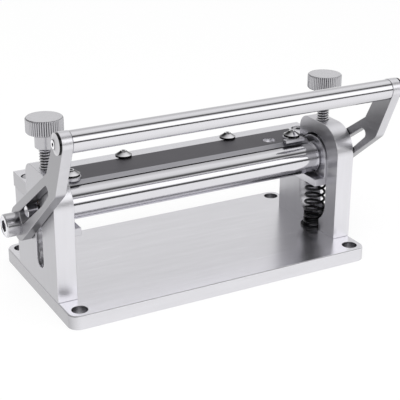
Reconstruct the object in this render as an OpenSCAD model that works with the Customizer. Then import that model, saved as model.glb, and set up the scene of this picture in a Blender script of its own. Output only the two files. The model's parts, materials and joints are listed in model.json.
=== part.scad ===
// Leather splitting machine for the bench.
// A roller on two sprung bearing blocks runs under a fixed blade. Two knobs above the
// uprights set how high the roller may rise, and the lever frame presses it down and away
// from the blade, so that leather can be laid in between.
// X runs along the roller, Y to the back and Z up from the base's underside.

/* [Base] */
// Length of the base, left to right
base_length = 300; // [290:5:340]
// Depth of the base, front to back
base_depth = 163; // [155:1:190]
// Thickness of the base
base_thick = 13; // [12:0.5:18]
// Radius of the base's upright corners
base_corner_r = 10; // [6:0.5:14]
// Bevel round the base's upper edge
base_bevel = 1; // [0.5:0.1:1.5]
// Distance of the bench holes from the base's ends
hole_end_inset = 12; // [11:0.5:14]
// Distance of the bench holes from the base's front and back
hole_side_inset = 11.5; // [10.5:0.5:14]
// Bore of the bench holes
bench_hole_d = 9; // [7:0.5:9]
// Diameter of the recess for a bench screw's head
bench_recess_d = 14; // [13:0.5:15]
// Depth of the recess for a bench screw's head
bench_recess_depth = 8.5; // [7:0.5:10]

/* [Uprights] */
// Thickness of the uprights
upright_thick = 18; // [18:0.5:22]
// Distance of the uprights' front faces ahead of the base's centre
upright_front = 52; // [50:0.5:56]
// Distance of the uprights' back faces behind the base's centre
upright_back = 45; // [44:0.5:50]
// Height of the uprights above the base
upright_rise = 108.7; // [108:0.5:116]
// Radius of the uprights' front top corner
front_arc_r = 27; // [20:0.5:30]
// Radius of the uprights' back top corner
back_arc_r = 12; // [6:0.5:14]
// Distance of the step that the beam lies against, behind the base's centre
riser_back = 12.5; // [12:0.5:14]
// Height of the beam's ledges above the base
ledge_rise = 73.8; // [72:0.2:76]
// Rounding of the uprights' outer back edge
back_edge_r = 4; // [2:0.5:5]

/* [Bearing pockets] */
// Depth of the pocket in each upright's inner face
pocket_depth = 15; // [14.5:0.1:16]
// Height of the pocket's lowest point above the base
pocket_floor = 7.7; // [6:0.1:10]
// Room between a bearing block's crown and the pocket's top
crown_room = 1.9; // [1.5:0.1:3]
// Gap on each side of a bearing block in its pocket
slide_gap = 0.1; // [0.05:0.05:0.2]
// Width of the slot in the outer wall, for the roller's journal
slot_w = 16; // [13:0.5:18]
// Height of the slot's lowest point above the base
slot_floor = 18; // [15:0.5:22]
// Room between the roller's journal and the slot's top
slot_top_room = 3.8; // [2:0.2:5]

/* [Roller and blocks] */
// Diameter of the roller
roller_d = 29; // [26:0.5:29.5]
// Distance of the roller's axis ahead of the base's centre
roller_front = 13.5; // [12.5:0.5:14.5]
// Gap between the roller and the blade's underside at rest
leather_gap = 0.5; // [0.3:0.1:1.2]
// Diameter of the necks that turn in the bushings
neck_d = 16; // [14:0.5:16]
// Diameter of the journals that the lever arms press on
journal_d = 10; // [8:0.5:10]
// Distance of the ring groove from each end of the roller
ring_inset = 1.5; // [1:0.1:3]
// Width and depth of the ring groove
ring_w = 0.8; // [0.4:0.1:1.2]
// Diameter of the bearing blocks
block_d = 43.3; // [42:0.1:44]
// Distance that the blocks stand out of the uprights
block_proud = 2; // [1.5:0.1:2.5]
// Flat milled off a block's crown for the adjusting screw
crown_flat = 0.65; // [0.5:0.05:0.8]
// Distance of a block's lower face under the roller's axis
block_drop = 21.9; // [21:0.1:23]
// Length of the shelf that stands out of each block over its spring
shelf_length = 10.5; // [9:0.1:11]
// Gap between the roller and the shelves under it
shelf_gap = 0.4; // [0.3:0.1:1]
// Wall of the bronze bushings
bushing_wall = 2.45; // [2:0.05:3]
// Thickness of the thrust washers
thrust_thick = 1; // [0.6:0.1:1]
// Diameter of the thrust washers
thrust_d = 25; // [22:0.5:26]

/* [Springs] */
// Outer diameter of the springs
spring_d = 20.8; // [19:0.1:21]
// Diameter of the spring wire
wire_d = 2.4; // [2:0.1:2.6]
// Turns of each spring
spring_turns = 7.25; // [6.25:0.5:8.25]
// Closed turns at each end of a spring
closed_turns = 0.75; // [0.5:0.25:1]
// Pitch of the closed turns
closed_pitch = 3; // [2.9:0.1:3.4]
// Distance of the springs' axes outside the uprights' inner faces
spring_inset = 3.5; // [3:0.1:3.5]
// Diameter of the washers under the springs
seat_d = 25.6; // [24:0.1:25.8]
// Bore of the washers under the springs
seat_bore_d = 14; // [12:0.5:15]
// Thickness of the washers under the springs
seat_thick = 1.5; // [1:0.1:2]

/* [Adjusters] */
// Diameter of the adjusting screws
screw_d = 12; // [11:0.5:12]
// Pitch of the adjusting screws' thread
screw_pitch = 2.5; // [2:0.25:2.5]
// Depth of the adjusting screws' thread
screw_thread_depth = 1.1; // [0.8:0.1:1.2]
// Distance of the adjusting screws outside the uprights' inner faces
adjuster_inset = 8; // [7.5:0.1:9.5]
// Bare thread between an upright and a knob
thread_shown = 18; // [12:0.5:20]
// Diameter of the hub under each knob
hub_d = 18; // [14:0.5:19]
// Height of the hub under each knob
hub_height = 13.3; // [10:0.1:16]
// Diameter of the knobs over their knurl
knob_d = 32; // [28:0.5:34]
// Height of the knobs
knob_height = 13.2; // [11:0.1:15]
// Depth of the knurl
knurl_depth = 0.6; // [0.4:0.1:0.8]
// Teeth of the knurl
knurl_teeth = 60; // [40:2:72]
// Bevel round the knobs
knob_bevel = 1; // [0.6:0.1:1.5]
// Diameter of the stud inside each knob
stud_d = 8; // [7:0.5:9]
// Diameter of the swivelling tips
tip_d = 9; // [8:0.2:9.4]
// Thickness of the swivelling tips
tip_thick = 2.5; // [2:0.1:2.5]
// Diameter of a tip's pin
tip_pin_d = 5; // [4:0.5:5]
// Length of a tip's pin
tip_pin_length = 5; // [4:0.5:6]

/* [Blade and beam] */
// Thickness of the beam
beam_thick = 13.4; // [12:0.2:15]
// Distance of the beam's front face behind the base's centre
beam_front = 4; // [3:0.5:6]
// Gap between the beam's wide middle and the bearing blocks
beam_end_gap = 1.5; // [1:0.1:2]
// Gap between the blade's ends and the uprights
blade_end_gap = 6; // [5:0.5:9]
// Thickness of the blade
blade_thick = 3; // [2.5:0.1:3.5]
// Distance of the blade's back edge behind the base's centre
blade_back = 24; // [23:0.5:24.5]
// Distance of the cutting edge behind the roller's axis
edge_back = 0.7; // [0.5:0.1:1.2]
// Length of the ground bevel
bevel_length = 4.3; // [3.5:0.1:5]
// Height of the cutting edge's land
edge_land = 0.15; // [0.1:0.05:0.3]
// Diameter of the hanging hole in the blade
blade_hole_d = 12; // [8:0.5:12]
// Distance of the hanging hole from the blade's right end
blade_hole_inset = 35; // [35:0.5:45]
// Distance of the hanging hole behind the base's centre
blade_hole_back = 3; // [2:0.5:4]
// Gap between the blade's back edge and the clamping screws' shanks
clamp_gap = 1; // [0.5:0.1:2]
// Distance of the left clamping screw from the left upright
left_clamp_inset = 82; // [60:1:92]
// Distance of the right clamping screw from the right upright
right_clamp_inset = 72.5; // [60:0.5:92]
// Distance of the left end plate's screw from the blade's end
left_plate_inset = 12; // [12:0.2:15]
// Distance of the right end plate's screw from the blade's end
right_plate_inset = 13.8; // [12:0.2:15]
// Distance of the end plates' screws behind the cutting edge
plate_screw_back = 9.6; // [9:0.1:10.5]
// Diameter of each end plate's round part
plate_d = 17; // [16:0.1:18]
// Reach of each end plate's straight part on its long side
plate_reach = 13; // [10:0.1:14]
// Reach of each end plate's straight part on its short side
plate_short_reach = 8.3; // [7:0.1:9]
// Depth of each end plate's straight part
plate_depth = 6; // [5:0.1:7]
// Thickness of the end plates
plate_thick = 3; // [2:0.1:4]
// Distance that the right end plate stands over the cutting edge
plate_overhang = 1.3; // [0.5:0.1:1.5]

/* [Cone screws] */
// Base diameter of the blade screws' heads
cone_d = 15.4; // [14:0.1:15.6]
// Tip diameter of the blade screws' heads
cone_tip_d = 5.6; // [5:0.1:7]
// Height of the blade screws' heads
cone_height = 5.3; // [4:0.1:6]
// Shank diameter of the blade screws
cone_shank_d = 6; // [5:0.5:6]
// Length of the blade screws' shanks
cone_shank_length = 12; // [10:0.5:13]
// Width across the flats of the blade screws' sockets
cone_socket_w = 3; // [2.5:0.5:4]
// Depth of the blade screws' sockets
cone_socket_depth = 3.5; // [2.5:0.5:4]

/* [Cap screws] */
// Shank diameter of the cap screws
cap_shank_d = 8; // [6:0.5:8]
// Head diameter of the cap screws
cap_head_d = 13; // [11:0.5:13]
// Height of the cap screws' heads
cap_head_height = 8; // [6:0.5:8]
// Width across the flats of the cap screws' sockets
cap_socket_w = 6; // [5:0.5:6]
// Depth of the cap screws' sockets
cap_socket_depth = 4; // [3:0.5:5]
// Length of a cap screw in the piece that it pulls on
cap_grip = 16; // [12:0.5:18]
// Diameter of the recesses for the cap screws' heads
cap_recess_d = 15; // [14:0.5:15.5]
// Depth of the recesses for the cap screws' heads
cap_recess_depth = 8.5; // [8.2:0.1:9]
// Distance of the front cap screws behind the uprights' front faces
front_cap_inset = 8.4; // [7.5:0.1:9]
// Distance of the back cap screws ahead of the uprights' back faces
back_cap_inset = 17.5; // [14:0.5:20]

/* [Lever frame] */
// Thickness of the arms
arm_thick = 9; // [8:0.5:10]
// Distance of the arms' pivot behind the base's centre
pivot_back = 13; // [13:0.1:14]
// Height of the arms' pivot above the base
pivot_rise = 51; // [50:0.2:52]
// Diameter of the arms round the pivot
pivot_boss_d = 31; // [29:0.5:33]
// Distance of the elbow ahead of the pivot
elbow_reach = 86.4; // [82:0.1:88]
// Height of the elbow above the pivot
elbow_rise = 65.4; // [62:0.1:68]
// Width of the arms at the elbow
elbow_w = 22; // [20:0.5:24]
// Distance of the handle bar ahead of the pivot
bar_reach = 106.5; // [102:0.5:112]
// Height of the handle bar above the pivot
bar_rise = 106.5; // [104:0.5:112]
// Diameter of the arms round the handle bar
bar_boss_d = 18.6; // [18:0.2:22]
// Diameter of the handle bar
bar_d = 18; // [16:0.5:20]
// Slope of the slot that rides on the roller's journal
slot_angle = 35.2; // [34:0.1:36]
// Gap between the journal and the slot's upper edge at rest
journal_rest_gap = 0.3; // [0.2:0.1:0.5]
// Width of the arms' slot
arm_slot_w = 11.7; // [11.4:0.1:12.5]
// Distance from the pivot to the slot's near end
arm_slot_start = 11; // [11:0.1:12.5]
// Distance from the pivot to where the slot narrows
arm_slot_straight = 74; // [66:0.5:78]
// Distance from the pivot to the centre of the slot's far end
arm_slot_end = 94; // [88:0.5:95]
// Width of the slot's far end
arm_slot_end_w = 9.2; // [8:0.1:10]
// Rounding of the slot's near corners
arm_slot_corner_r = 2.5; // [1:0.5:3]
// Thickness of the washers on the pivot bolts
pivot_washer_thick = 0.6; // [0.5:0.1:1]
// Diameter of the washers on the pivot bolts
pivot_washer_d = 21; // [18:0.5:21]
// Shoulder diameter of the pivot bolts
shoulder_d = 12; // [10:0.5:12]
// Head diameter of the pivot bolts
pivot_head_d = 21; // [18:0.5:22]
// Height of the pivot bolts' heads
pivot_head_height = 12; // [10:0.5:13]
// Width across the flats of the pivot bolts' sockets
pivot_socket_w = 10; // [8:0.5:10]
// Depth of the pivot bolts' sockets
pivot_socket_depth = 6; // [4.5:0.5:7]
// Thread diameter of the pivot bolts
pivot_thread_d = 8; // [6:0.5:8]
// Length of the pivot bolts' thread
pivot_thread_length = 14; // [12:0.5:15]
// Base diameter of the handle screws' heads
handle_cone_d = 17.8; // [17:0.1:19]
// Tip diameter of the handle screws' heads
handle_cone_tip_d = 7.6; // [6:0.1:8]
// Height of the handle screws' heads
handle_cone_height = 4.2; // [4:0.1:6]
// Length of the handle screws in the bar
handle_grip = 20; // [14:0.5:24]

/* [Hidden] */
$fn = 96;
fit_gap = 0.05;
thread_gap = 0.1;
seat_gap = 0.3;
wire_gap = 0.1;
overrun = 2;
edge_bevel = 0.5;
tangent_bite = 0.02;
wire_sides = 6;
rings_per_turn = 8;

upright_outer = base_length / 2;
upright_inner = upright_outer - upright_thick;
upright_mid = upright_outer - upright_thick / 2;
upright_top = base_thick + upright_rise;
ledge_top = base_thick + ledge_rise;
beam_top = ledge_top + beam_thick;
blade_top = beam_top + blade_thick;
plate_top = blade_top + plate_thick;

axis_y = -roller_front;
axis_z = beam_top - leather_gap - roller_d / 2;
block_r = block_d / 2;
block_inner = upright_inner - block_proud;
block_outer = upright_inner + pocket_depth - seat_gap;
block_under = axis_z - block_drop;
shelf_top = axis_z - roller_d / 2 - shelf_gap;
block_top = axis_z + block_r - crown_flat;
pocket_r = block_r + slide_gap;
pocket_high = axis_z + block_r + crown_room - pocket_r;
pocket_low = base_thick + pocket_floor + pocket_r;
pocket_wall = upright_inner + pocket_depth;
neck_end = pocket_wall - seat_gap - fit_gap;
bushing_r = neck_d / 2 + fit_gap + bushing_wall;

arm_inner = upright_outer + pivot_washer_thick;
arm_outer = arm_inner + arm_thick;
journal_end = arm_outer + edge_bevel;
pivot_z = base_thick + pivot_rise;
bar_y = pivot_back - bar_reach;
bar_z = pivot_z + bar_rise;
elbow_y = pivot_back - elbow_reach;
elbow_z = pivot_z + elbow_rise;
journal_out = (axis_y - pivot_back) * sin(slot_angle) + (axis_z - pivot_z) * cos(slot_angle);
arm_slot_high = journal_out + journal_d / 2 + journal_rest_gap;
arm_slot_low = arm_slot_high - arm_slot_w;

spring_x = upright_inner + spring_inset;
seat_top = base_thick + seat_thick;
wire_r = wire_d / 2;
coil_r = spring_d / 2 - wire_r;
coil_low = seat_top + wire_gap + wire_r;
coil_high = block_under - wire_gap - wire_r;
open_turns = spring_turns - 2 * closed_turns;
open_pitch = (coil_high - coil_low - 2 * closed_turns * closed_pitch) / open_turns;

adjuster_x = upright_inner + adjuster_inset;
tip_top = block_top + tip_thick;
knob_under = upright_top + thread_shown;
knob_low = knob_under + hub_height;

blade_half = upright_inner - blade_end_gap;
blade_hole_x = blade_half - blade_hole_inset;
clamps_x = [left_clamp_inset - upright_inner, upright_inner - right_clamp_inset];
clamp_y = blade_back + clamp_gap + cone_shank_d / 2;
edge_y = axis_y + edge_back;
plates_x = [left_plate_inset - blade_half, blade_half - right_plate_inset];
plates_y = edge_y + plate_screw_back;
beam_mid_half = block_inner - beam_end_gap;
front_cap_y = front_cap_inset - upright_front;
back_cap_y = upright_back - back_cap_inset;

// Shapes that several pieces share

module along_x(from, to) {
    translate([from, 0, 0]) rotate([90, 0, 90]) linear_extrude(to - from) children();
}

module rod_x(from, to, radius, tip_radius = undef) {
    end_radius = is_undef(tip_radius) ? radius : tip_radius;
    translate([from, 0, 0]) rotate([0, 90, 0]) cylinder(h = to - from, r1 = radius, r2 = end_radius);
}

module on_left() {
    mirror([1, 0, 0]) children();
}

module on_both_sides() {
    children();
    on_left() children();
}

module bevelled_section(half, height, bevel) {
    polygon([[-half, 0], [half, 0], [half, height - bevel], [half - bevel, height],
        [bevel - half, height], [-half, height - bevel]]);
}

// A slab with rounded corners and a bevel round its upper edge
module bevelled_slab(length, depth, height, corner, bevel) {
    along_x(corner - length / 2, length / 2 - corner) bevelled_section(depth / 2, height, bevel);
    rotate([0, 0, 90]) along_x(corner - depth / 2, depth / 2 - corner)
        bevelled_section(length / 2, height, bevel);
    for (x = [-1, 1], y = [-1, 1]) {
        translate([x * (length / 2 - corner), y * (depth / 2 - corner), 0]) rotate_extrude()
            polygon([[0, 0], [corner, 0], [corner, height - bevel], [corner - bevel, height], [0, height]]);
    }
}

module obround(width, low, high) {
    translate([0, low]) circle(width / 2);
    translate([0, high]) circle(width / 2);
    translate([-width / 2, low]) square([width, high - low]);
}

// A hexagonal recess, cut down from the top face of a screw's head
module hex_socket(flats, depth) {
    translate([0, 0, -depth]) cylinder(h = depth + overrun, d = flats / cos(180 / 6), $fn = 6);
}

// A socket head cap screw whose head stands on Z zero, with its shank below
module cap_screw(shank) {
    difference() {
        union() {
            cylinder(h = cap_head_height - edge_bevel, d = cap_head_d);
            translate([0, 0, cap_head_height - edge_bevel])
                cylinder(h = edge_bevel, d1 = cap_head_d, d2 = cap_head_d - 2 * edge_bevel);
            translate([0, 0, -shank]) cylinder(h = shank, d = cap_shank_d);
        }
        translate([0, 0, cap_head_height]) hex_socket(cap_socket_w, cap_socket_depth);
    }
}

// A screw with a conical head that stands on Z zero, with its shank below
module cone_screw(base_d, tip_d, height, shank_d, shank) {
    difference() {
        union() {
            cylinder(h = height, d1 = base_d, d2 = tip_d);
            translate([0, 0, -shank]) cylinder(h = shank, d = shank_d);
        }
        translate([0, 0, height]) hex_socket(cone_socket_w, cone_socket_depth);
    }
}

module washer(outer_d, bore_d, thick) {
    difference() {
        cylinder(h = thick, d = outer_d);
        translate([0, 0, -overrun]) cylinder(h = thick + 2 * overrun, d = bore_d);
    }
}

// The band between two circles, whose straight edges lie a hair inside their outer tangents
module tangent_band(from, to, from_r, to_r) {
    run = to - from;
    span = norm(run);
    heading = atan2(run[1], run[0]);
    spread = acos((from_r - to_r) / span);
    polygon([for (turn = [spread, -spread], side = [0, 1])
        let (angle = heading + turn, near = (turn > 0) == (side == 0))
        (near ? from : to) + ((near ? from_r : to_r) - tangent_bite) * [cos(angle), sin(angle)]]);
}

// Base

module base_plate() {
    color("gainsboro") difference() {
        bevelled_slab(base_length, base_depth, base_thick, base_corner_r, base_bevel);
        for (x = [-1, 1], y = [-1, 1]) {
            translate([x * (base_length / 2 - hole_end_inset), y * (base_depth / 2 - hole_side_inset), 0]) {
                translate([0, 0, -overrun]) cylinder(h = base_thick + 2 * overrun, d = bench_hole_d);
                translate([0, 0, base_thick - bench_recess_depth])
                    cylinder(h = bench_recess_depth + overrun, d = bench_recess_d);
            }
        }
        for (x = [-upright_mid, upright_mid], y = [front_cap_y, back_cap_y]) {
            translate([x, y, -overrun]) {
                cylinder(h = base_thick + 2 * overrun, d = cap_shank_d + 2 * fit_gap);
                cylinder(h = cap_recess_depth + overrun, d = cap_recess_d);
            }
        }
    }
}

// Uprights

module upright_outline() {
    high_y = riser_back - back_arc_r;
    arc_z = upright_top - front_arc_r;
    translate([-upright_front, base_thick]) square([upright_front + upright_back, ledge_rise]);
    translate([-upright_front, base_thick])
        square([upright_front + riser_back, upright_rise - front_arc_r]);
    translate([front_arc_r - upright_front, arc_z])
        square([upright_front - front_arc_r + high_y, front_arc_r]);
    translate([high_y, arc_z]) square([back_arc_r, front_arc_r - back_arc_r]);
    translate([front_arc_r - upright_front, arc_z]) circle(front_arc_r);
    translate([high_y, upright_top - back_arc_r]) circle(back_arc_r);
}

module pocket_outline() {
    translate([axis_y, 0]) obround(2 * pocket_r, pocket_low, pocket_high);
}

module journal_slot_outline() {
    low = base_thick + slot_floor + slot_w / 2;
    high = axis_z + journal_d / 2 + slot_top_room - slot_w / 2;
    translate([axis_y, 0]) obround(slot_w, low, high);
}

module rounded_back_edge() {
    corner = [upright_outer - back_edge_r, upright_back - back_edge_r, base_thick - overrun];
    height = ledge_rise + 2 * overrun;
    difference() {
        translate(corner) cube([back_edge_r + overrun, back_edge_r + overrun, height]);
        translate(corner) cylinder(h = height, r = back_edge_r);
    }
}

module upright() {
    tapped = cap_shank_d + 2 * fit_gap;
    groove_top = pocket_low - sqrt(pow(pocket_r, 2) - pow(seat_d / 2 + seat_gap, 2)) + edge_bevel;
    difference() {
        along_x(upright_inner, upright_outer) upright_outline();
        along_x(upright_inner - overrun, pocket_wall) pocket_outline();
        along_x(pocket_wall - overrun, upright_outer + overrun) journal_slot_outline();
        rounded_back_edge();
        translate([spring_x, axis_y, base_thick - overrun])
            cylinder(h = groove_top - base_thick + overrun, d = seat_d + 2 * seat_gap);
        translate([adjuster_x, axis_y, pocket_high])
            cylinder(h = upright_top - pocket_high + overrun, d = screw_d + 2 * thread_gap);
        for (y = [front_cap_y, back_cap_y]) {
            translate([upright_mid, y, base_thick - overrun])
                cylinder(h = cap_grip + 2 * overrun, d = tapped);
        }
        translate([upright_mid, back_cap_y, ledge_top - cap_grip - overrun])
            cylinder(h = cap_grip + 2 * overrun, d = tapped);
        translate([0, pivot_back, pivot_z])
            rod_x(upright_outer - pivot_thread_length - overrun, upright_outer + overrun,
                pivot_thread_d / 2 + fit_gap);
    }
}

module left_upright() {
    color("silver") on_left() upright();
}

module right_upright() {
    color("silver") upright();
}

module upright_screws() {
    color("dimgray") for (x = [-upright_mid, upright_mid], y = [front_cap_y, back_cap_y]) {
        translate([x, y, cap_recess_depth]) mirror([0, 0, 1])
            cap_screw(base_thick - cap_recess_depth + cap_grip);
    }
}

// Beam and blade

module blade_beam() {
    ends_y = riser_back + seat_gap;
    tapped = cone_shank_d + 2 * fit_gap;
    color("silver") difference() {
        union() {
            translate([-upright_outer, ends_y, ledge_top])
                cube([2 * upright_outer, upright_back - ends_y, beam_thick]);
            translate([-beam_mid_half, beam_front, ledge_top])
                cube([2 * beam_mid_half, upright_back - beam_front, beam_thick]);
        }
        for (x = [-upright_mid, upright_mid]) {
            translate([x, back_cap_y, ledge_top - overrun])
                cylinder(h = beam_thick + 2 * overrun, d = cap_shank_d + 2 * fit_gap);
            translate([x, back_cap_y, beam_top - cap_recess_depth])
                cylinder(h = cap_recess_depth + overrun, d = cap_recess_d);
        }
        for (x = clamps_x) {
            translate([x, clamp_y, beam_top - cone_shank_length])
                cylinder(h = cone_shank_length + overrun, d = tapped);
        }
    }
}

module beam_screws() {
    color("gray") for (x = [-upright_mid, upright_mid]) {
        translate([x, back_cap_y, beam_top - cap_recess_depth])
            cap_screw(beam_thick - cap_recess_depth + cap_grip);
    }
}

module blade() {
    color("dimgray") difference() {
        along_x(-blade_half, blade_half) polygon([
            [blade_back, beam_top],
            [blade_back, blade_top],
            [edge_y + bevel_length, blade_top],
            [edge_y, beam_top + edge_land],
            [edge_y, beam_top]]);
        translate([blade_hole_x, blade_hole_back, beam_top - overrun])
            cylinder(h = blade_thick + 2 * overrun, d = blade_hole_d);
        for (x = plates_x) {
            translate([x, plates_y, beam_top - overrun])
                cylinder(h = blade_thick + 2 * overrun, d = cone_shank_d + 2 * fit_gap);
        }
    }
}

module blade_screws() {
    color("gainsboro") for (x = clamps_x) {
        translate([x, clamp_y, blade_top])
            cone_screw(cone_d, cone_tip_d, cone_height, cone_shank_d, cone_shank_length);
    }
}

// An end plate round its screw's axis, with a straight edge in front and a round end behind
module end_plate() {
    front = plate_screw_back + plate_overhang;
    difference() {
        union() {
            translate([(plate_short_reach - plate_reach) / 2, plate_depth / 2 - front, 0])
                bevelled_slab(plate_reach + plate_short_reach, plate_depth, plate_thick,
                    2 * edge_bevel, edge_bevel);
            cylinder(h = plate_thick - edge_bevel, d = plate_d);
            translate([0, 0, plate_thick - edge_bevel])
                cylinder(h = edge_bevel, d1 = plate_d, d2 = plate_d - 2 * edge_bevel);
        }
        translate([0, 0, -overrun])
            cylinder(h = plate_thick + 2 * overrun, d = cone_shank_d + 2 * fit_gap);
    }
}

// The left plate is turned by a quarter, so that only its round end shows beside the arm
module end_plates() {
    color("lightgray") {
        translate([plates_x[0], plates_y, blade_top]) rotate([0, 0, -90]) end_plate();
        translate([plates_x[1], plates_y, blade_top]) end_plate();
    }
}

module end_plate_screws() {
    color("gainsboro") for (x = plates_x) {
        translate([x, plates_y, plate_top])
            cone_screw(cone_d, cone_tip_d, cone_height, cone_shank_d, plate_thick + blade_thick);
    }
}

// Roller and its bearings

module roller_side() {
    body_end = block_inner - thrust_thick;
    ring_end = body_end - ring_inset;
    difference() {
        union() {
            rod_x(0, body_end - edge_bevel, roller_d / 2);
            rod_x(body_end - edge_bevel, body_end, roller_d / 2, roller_d / 2 - edge_bevel);
            rod_x(body_end, neck_end, neck_d / 2);
            rod_x(neck_end, journal_end - edge_bevel, journal_d / 2);
            rod_x(journal_end - edge_bevel, journal_end, journal_d / 2, journal_d / 2 - edge_bevel);
        }
        difference() {
            rod_x(ring_end - ring_w, ring_end, roller_d / 2 + overrun);
            rod_x(ring_end - ring_w, ring_end, roller_d / 2 - ring_w);
        }
    }
}

module roller() {
    color("whitesmoke") translate([0, axis_y, axis_z]) on_both_sides() roller_side();
}

module block() {
    difference() {
        along_x(block_inner, block_outer) translate([axis_y, 0]) difference() {
            union() {
                translate([0, axis_z]) circle(block_r);
                translate([-block_r, block_under]) square([2 * block_r, block_drop]);
            }
            translate([-block_r, block_top]) square([2 * block_r, block_r]);
        }
        translate([0, axis_y, axis_z])
            rod_x(block_inner - overrun, block_outer + overrun, bushing_r + fit_gap);
    }
    translate([block_inner - shelf_length, axis_y - block_r, block_under])
        cube([shelf_length, 2 * block_r, shelf_top - block_under]);
}

module left_block() {
    color("lightgray") on_left() block();
}

module right_block() {
    color("lightgray") block();
}

module bushings() {
    color("darkgoldenrod") translate([0, axis_y, axis_z]) on_both_sides() difference() {
        rod_x(block_inner, block_outer, bushing_r);
        rod_x(block_inner - overrun, block_outer + overrun, neck_d / 2 + fit_gap);
    }
}

module thrust_washers() {
    color("gray") translate([0, axis_y, axis_z]) on_both_sides() difference() {
        rod_x(block_inner - thrust_thick, block_inner, thrust_d / 2);
        rod_x(block_inner - thrust_thick - overrun, block_inner + overrun, neck_d / 2 + fit_gap);
    }
}

// Springs. Each is one wire of six sides that follows a helix, closed up at both ends

function coil_rise(turn) =
    min(turn, closed_turns) * closed_pitch
    + max(0, min(turn - closed_turns, open_turns)) * open_pitch
    + max(0, turn - closed_turns - open_turns) * closed_pitch;

function coil_point(turn) =
    [coil_r * cos(360 * turn), coil_r * sin(360 * turn), coil_low + coil_rise(turn)];

function coil_slope(turn) =
    (turn < closed_turns || turn > closed_turns + open_turns ? closed_pitch : open_pitch)
    / (2 * PI * coil_r);

function coil_ring(turn) = [for (side = [0 : wire_sides - 1])
    let (angle = 360 * side / wire_sides, lean = atan(coil_slope(turn)),
        out = [cos(360 * turn), sin(360 * turn), 0],
        up = [sin(360 * turn) * sin(lean), -cos(360 * turn) * sin(lean), cos(lean)])
    coil_point(turn) + wire_r * (cos(angle) * out + sin(angle) * up)];

coil_steps = round(spring_turns * rings_per_turn);
coil_points = [for (step = [0 : coil_steps]) each coil_ring(step * spring_turns / coil_steps)];
coil_faces = concat(
    [for (side = [1 : wire_sides - 2]) [0, side, side + 1]],
    [for (step = [0 : coil_steps - 1], side = [0 : wire_sides - 1], half = [0, 1])
        let (a = step * wire_sides + side, b = step * wire_sides + (side + 1) % wire_sides)
        half == 0 ? [a, a + wire_sides, b] : [b, a + wire_sides, b + wire_sides]],
    [for (side = [1 : wire_sides - 2])
        [for (corner = [0, side + 1, side]) coil_steps * wire_sides + corner]]);

coil_gap = min([for (step = [0 : coil_steps - rings_per_turn])
    let (turn = step / rings_per_turn)
    norm(coil_point(turn + 1) - coil_point(turn)) - wire_d]);
echo(str("least gap of a spring to itself, in mm: ", coil_gap));

module spring_at(x) {
    color("black") translate([x, axis_y, 0]) polyhedron(points = coil_points, faces = coil_faces);
}

module left_spring() {
    spring_at(-spring_x);
}

module right_spring() {
    spring_at(spring_x);
}

module spring_seats() {
    color("dimgray") for (x = [-spring_x, spring_x]) {
        translate([x, axis_y, base_thick]) washer(seat_d, seat_bore_d, seat_thick);
    }
}

// Adjusting screws and knobs, each round its own Z axis

module threaded_rod(length) {
    root_r = screw_d / 2 - screw_thread_depth;
    turns = floor(length / screw_pitch);
    rotate_extrude() polygon(concat(
        [[0, 0]],
        [for (turn = [0 : turns - 1]) each [
            [root_r, turn * screw_pitch],
            [screw_d / 2, (turn + 0.5) * screw_pitch]]],
        [[root_r, turns * screw_pitch], [root_r, length], [0, length]]));
}

module adjuster_screw_at(x) {
    color("gray") translate([x, axis_y, 0]) difference() {
        union() {
            translate([0, 0, tip_top]) threaded_rod(knob_under - tip_top);
            translate([0, 0, knob_under - overrun]) cylinder(h = hub_height + overrun, d = stud_d);
        }
        translate([0, 0, tip_top - overrun])
            cylinder(h = tip_pin_length + seat_gap + overrun, d = tip_pin_d + 2 * fit_gap);
    }
}

module knurled_outline() {
    polygon([for (tooth = [0 : knurl_teeth - 1], half = [0, 1])
        let (angle = 360 * (tooth + half / 2) / knurl_teeth,
            radius = knob_d / 2 - half * knurl_depth)
        radius * [cos(angle), sin(angle)]]);
}

module knob_body() {
    rim = knob_d / 2;
    translate([0, 0, knob_low]) intersection() {
        linear_extrude(knob_height) knurled_outline();
        rotate_extrude() polygon([[0, 0], [rim - knob_bevel, 0], [rim, knob_bevel],
            [rim, knob_height - edge_bevel], [rim - edge_bevel, knob_height], [0, knob_height]]);
    }
}

module adjuster_knob_at(x) {
    color("gainsboro") translate([x, axis_y, 0]) difference() {
        union() {
            translate([0, 0, knob_under]) cylinder(h = hub_height, d = hub_d);
            knob_body();
        }
        translate([0, 0, knob_under - overrun])
            cylinder(h = hub_height + overrun, d = stud_d + 2 * fit_gap);
    }
}

module screw_tip_at(x) {
    color("darkgray") translate([x, axis_y, block_top]) {
        cylinder(h = tip_thick, d = tip_d);
        translate([0, 0, tip_thick]) cylinder(h = tip_pin_length, d = tip_pin_d);
    }
}

module left_adjuster_screw() {
    adjuster_screw_at(-adjuster_x);
}

module right_adjuster_screw() {
    adjuster_screw_at(adjuster_x);
}

module left_adjuster_knob() {
    adjuster_knob_at(-adjuster_x);
}

module right_adjuster_knob() {
    adjuster_knob_at(adjuster_x);
}

module left_screw_tip() {
    screw_tip_at(-adjuster_x);
}

module right_screw_tip() {
    screw_tip_at(adjuster_x);
}

// Lever frame

module arm_slot_outline() {
    high = arm_slot_high;
    low = arm_slot_low;
    r = arm_slot_corner_r;
    end_low = high - arm_slot_end_w;
    translate([pivot_back, pivot_z]) mirror([1, 0]) rotate(slot_angle) {
        polygon([[arm_slot_start + r, low], [arm_slot_straight, low], [arm_slot_end, end_low],
            [arm_slot_end, high], [arm_slot_start + r, high]]);
        translate([arm_slot_start, low + r]) square([2 * r, high - low - 2 * r]);
        translate([arm_slot_start + r, low + r]) circle(r);
        translate([arm_slot_start + r, high - r]) circle(r);
        translate([arm_slot_end, high - arm_slot_end_w / 2]) circle(d = arm_slot_end_w);
    }
}

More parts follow.
